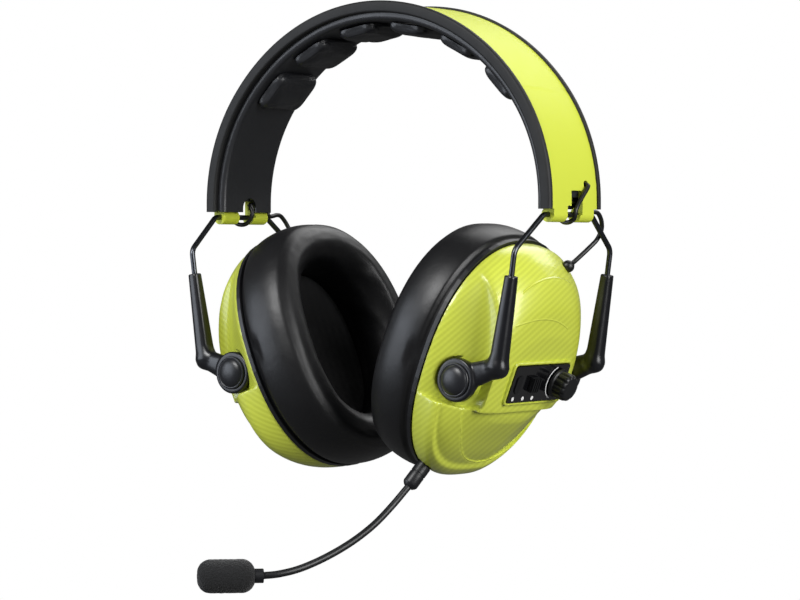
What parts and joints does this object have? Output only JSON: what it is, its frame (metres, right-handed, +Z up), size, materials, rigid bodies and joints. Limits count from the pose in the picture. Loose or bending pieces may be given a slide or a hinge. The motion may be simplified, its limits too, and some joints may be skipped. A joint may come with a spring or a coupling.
{
  "type": "communication headset",
  "caption": "Over-ear communication headset with a sprung padded headband, bent wire yokes, sliding arms, tilting deep cups, side controls and a boom microphone",
  "frame": {"origin": "midway between the wearer's ears, between the centres of the two ear cups", "axes": "+X to the wearer's left, -Y forward, +Z up"},
  "size_m": [0.1887, 0.1668, 0.2498],
  "materials": {
    "spring_skin": "matte yellow-green soft-touch coating on the sprung plate",
    "edge_rubber": "matte black moulded edge",
    "pad_leather": "soft black leatherette over foam",
    "cable_rubber": "satin black cable jacket",
    "wire_steel": "dark grey spring wire",
    "arm_plastic": "satin dark grey moulded plastic",
    "cap_plastic": "satin dark grey cap",
    "shell_finish": "glossy yellow-green with a woven twill printed under clear lacquer",
    "black_plastic": "matte black plastic",
    "steel": "plain steel",
    "cushion_leather": "satin black leatherette over foam",
    "screen_cloth": "open black acoustic cloth",
    "cone_paper": "thin dark grey film",
    "foam": "open-cell grey foam",
    "panel_gloss": "gloss black control panel",
    "knob_rubber": "fluted black soft-touch knob",
    "metal_can": "plated component can",
    "lens": "small white indicator lens",
    "board": "green circuit board",
    "cell": "foil pouch cell",
    "neck_jacket": "satin black gooseneck jacket",
    "capsule_metal": "dark capsule case",
    "windscreen_foam": "black open-cell foam"
  },
  "bodies": {
    "headband": {"headband_plate": "spring_skin", "front_edge_moulding": "edge_rubber", "rear_edge_moulding": "edge_rubber", "band_lining": "pad_leather", "crown_pads": "pad_leather", "band_cable": "cable_rubber"},
    "left_yoke": {"left_wire_yoke": "wire_steel"},
    "right_yoke": {"right_wire_yoke": "wire_steel"},
    "left_arms": {"left_front_arm": "arm_plastic", "left_rear_arm": "arm_plastic", "left_pivot_caps": "cap_plastic", "left_pivot_clips": "steel"},
    "right_arms": {"right_front_arm": "arm_plastic", "right_rear_arm": "arm_plastic", "right_pivot_caps": "cap_plastic", "right_pivot_clips": "steel"},
    "left_cup": {"left_cup_shell": "shell_finish", "left_backplate": "black_plastic", "left_backplate_screws": "steel", "left_ear_cushion": "cushion_leather", "left_cloth_screen": "screen_cloth", "left_speaker_basket": "black_plastic", "left_speaker_magnet": "steel", "left_speaker_cone": "cone_paper", "left_absorber_foam": "foam", "left_cable_grommet": "cable_rubber", "left_cup_lead": "cable_rubber", "control_panel": "panel_gloss", "potentiometer": "metal_can", "switch_body": "metal_can", "button_switch": "metal_can", "indicator_lenses": "lens", "circuit_board": "board", "battery": "cell", "mic_socket": "black_plastic"},
    "right_cup": {"right_cup_shell": "shell_finish", "right_backplate": "black_plastic", "right_backplate_screws": "steel", "right_ear_cushion": "cushion_leather", "right_cloth_screen": "screen_cloth", "right_speaker_basket": "black_plastic", "right_speaker_magnet": "steel", "right_speaker_cone": "cone_paper", "right_absorber_foam": "foam", "right_cable_grommet": "cable_rubber", "right_cup_lead": "cable_rubber"},
    "knob": {"volume_knob": "knob_rubber", "volume_shaft": "steel"},
    "switch": {"mode_switch": "black_plastic"},
    "button": {"push_button": "black_plastic"},
    "boom": {"boom_plug": "black_plastic", "gooseneck": "neck_jacket", "mic_collar": "black_plastic", "mic_capsule": "capsule_metal", "mic_windscreen": "windscreen_foam"}
  },
  "joints": [
    {"name": "left_yoke_swing", "type": "hinge", "parent": "headband", "child": "left_yoke", "pos_m": [0.0888, 0, 0.054], "axis": [0, -1, 0], "range_deg": [-0.5, 25], "deforming": ["left_cup_lead"]},
    {"name": "left_height_slide", "type": "slide", "parent": "left_yoke", "child": "left_arms", "axis": [-0.1392, 0, -0.9903], "range_m": [-0.008, 0.02], "deforming": ["left_cup_lead"]},
    {"name": "left_cup_tilt", "type": "hinge", "parent": "left_arms", "child": "left_cup", "pos_m": [0.05992, 0, -0.01505], "axis": [0, -1, 0], "range_deg": [-1.5, 30], "deforming": ["left_cup_lead"]},
    {"name": "right_yoke_swing", "type": "hinge", "parent": "headband", "child": "right_yoke", "pos_m": [-0.0888, 0, 0.054], "axis": [0, 1, 0], "range_deg": [-0.5, 25], "deforming": ["right_cup_lead"]},
    {"name": "right_height_slide", "type": "slide", "parent": "right_yoke", "child": "right_arms", "axis": [0.1392, 0, -0.9903], "range_m": [-0.008, 0.02], "deforming": ["right_cup_lead"]},
    {"name": "right_cup_tilt", "type": "hinge", "parent": "right_arms", "child": "right_cup", "pos_m": [-0.05992, 0, -0.01505], "axis": [0, 1, 0], "range_deg": [-1.5, 30], "deforming": ["right_cup_lead"]},
    {"name": "volume_turn", "type": "hinge", "parent": "left_cup", "child": "knob", "pos_m": [0.07299, 0.0135, -0.01708], "axis": [0.9304, 0, -0.3665], "range_deg": [-140, 140]},
    {"name": "mode_slide", "type": "slide", "parent": "left_cup", "child": "switch", "axis": [0, 1, 0], "range_m": [-0.0015, 0.0015]},
    {"name": "button_press", "type": "slide", "parent": "left_cup", "child": "button", "axis": [-0.9304, 0, 0.3665], "range_m": [0, 0.0008], "stiffness_N_per_m": 500, "springref_m": -0.0015},
    {"name": "boom_swivel", "type": "hinge", "parent": "left_cup", "child": "boom", "pos_m": [0.03351, -0.0265, -0.05236], "axis": [-0.3002, -0.5736, -0.7622], "range_deg": [-90, 35]}
  ]
}
